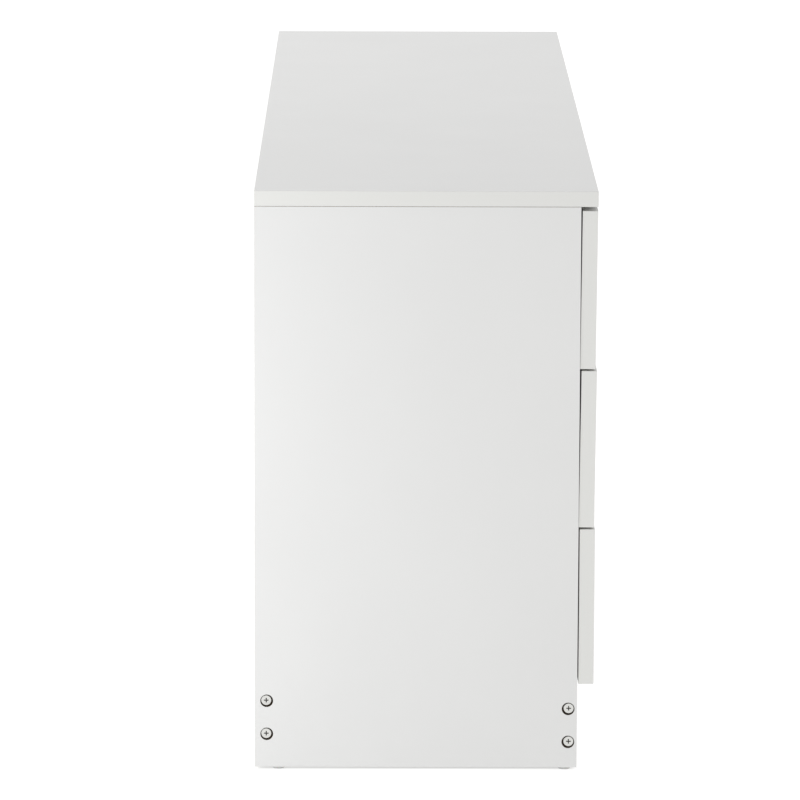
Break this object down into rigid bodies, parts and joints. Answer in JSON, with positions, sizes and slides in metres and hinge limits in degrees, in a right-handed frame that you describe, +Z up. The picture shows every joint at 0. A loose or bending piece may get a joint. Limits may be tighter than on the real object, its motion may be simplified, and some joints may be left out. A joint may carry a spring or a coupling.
{
  "type": "sideboard buffet",
  "caption": "Long low sideboard of white matt board on a plinth, with overlaid handleless drawers in two banks, opened by finger cut-outs and carried on steel runners.",
  "frame": {"origin": "on the floor, under the middle of the cabinet", "axes": "+Z up, +X along the length towards the right end seen from the front, -Y the way the drawers open"},
  "size_m": [1.6, 0.4, 0.69],
  "materials": {
    "white_board": "matt white melamine faced chipboard with white edge banding",
    "hardboard": "thin hardboard, painted white on the face",
    "runner_steel": "white epoxy coated rolled steel",
    "screw_nickel": "bright nickel plated steel",
    "white_nylon": "moulded white nylon"
  },
  "bodies": {
    "carcass": {"top_panel": "white_board", "side_panel_left": "white_board", "side_panel_right": "white_board", "bottom_panel": "white_board", "centre_partition": "white_board", "plinth_front": "white_board", "rear_base_rail": "white_board", "centre_support": "white_board", "back_panel_left": "hardboard", "back_panel_right": "hardboard", "screw_left_front_lower": "screw_nickel", "screw_left_front_upper": "screw_nickel", "screw_left_rear_lower": "screw_nickel", "screw_left_rear_upper": "screw_nickel", "glide_left_front": "white_nylon", "glide_left_rear": "white_nylon", "glide_right_front": "white_nylon", "glide_right_rear": "white_nylon", "runner_left_bottom_outer": "runner_steel", "runner_left_bottom_inner": "runner_steel", "runner_left_middle_outer": "runner_steel", "runner_left_middle_inner": "runner_steel", "runner_left_top_outer": "runner_steel", "runner_left_top_inner": "runner_steel", "runner_right_bottom_outer": "runner_steel", "runner_right_bottom_inner": "runner_steel", "runner_right_middle_outer": "runner_steel", "runner_right_middle_inner": "runner_steel", "runner_right_top_outer": "runner_steel", "runner_right_top_inner": "runner_steel"},
    "drawer_left_bottom": {"drawer_left_bottom_front": "white_board", "drawer_left_bottom_side_left": "white_board", "drawer_left_bottom_side_right": "white_board", "drawer_left_bottom_back": "white_board", "drawer_left_bottom_bottom": "hardboard"},
    "drawer_left_middle": {"drawer_left_middle_front": "white_board", "drawer_left_middle_side_left": "white_board", "drawer_left_middle_side_right": "white_board", "drawer_left_middle_back": "white_board", "drawer_left_middle_bottom": "hardboard"},
    "drawer_left_top": {"drawer_left_top_front": "white_board", "drawer_left_top_side_left": "white_board", "drawer_left_top_side_right": "white_board", "drawer_left_top_back": "white_board", "drawer_left_top_bottom": "hardboard"},
    "drawer_right_bottom": {"drawer_right_bottom_front": "white_board", "drawer_right_bottom_side_left": "white_board", "drawer_right_bottom_side_right": "white_board", "drawer_right_bottom_back": "white_board", "drawer_right_bottom_bottom": "hardboard"},
    "drawer_right_middle": {"drawer_right_middle_front": "white_board", "drawer_right_middle_side_left": "white_board", "drawer_right_middle_side_right": "white_board", "drawer_right_middle_back": "white_board", "drawer_right_middle_bottom": "hardboard"},
    "drawer_right_top": {"drawer_right_top_front": "white_board", "drawer_right_top_side_left": "white_board", "drawer_right_top_side_right": "white_board", "drawer_right_top_back": "white_board", "drawer_right_top_bottom": "hardboard"}
  },
  "joints": [
    {"name": "drawer_left_bottom_slide", "type": "slide", "parent": "carcass", "child": "drawer_left_bottom", "axis": [0, -1, 0], "range_m": [0, 0.26]},
    {"name": "drawer_left_middle_slide", "type": "slide", "parent": "carcass", "child": "drawer_left_middle", "axis": [0, -1, 0], "range_m": [0, 0.26]},
    {"name": "drawer_left_top_slide", "type": "slide", "parent": "carcass", "child": "drawer_left_top", "axis": [0, -1, 0], "range_m": [0, 0.26]},
    {"name": "drawer_right_bottom_slide", "type": "slide", "parent": "carcass", "child": "drawer_right_bottom", "axis": [0, -1, 0], "range_m": [0, 0.26]},
    {"name": "drawer_right_middle_slide", "type": "slide", "parent": "carcass", "child": "drawer_right_middle", "axis": [0, -1, 0], "range_m": [0, 0.26]},
    {"name": "drawer_right_top_slide", "type": "slide", "parent": "carcass", "child": "drawer_right_top", "axis": [0, -1, 0], "range_m": [0, 0.26]}
  ]
}
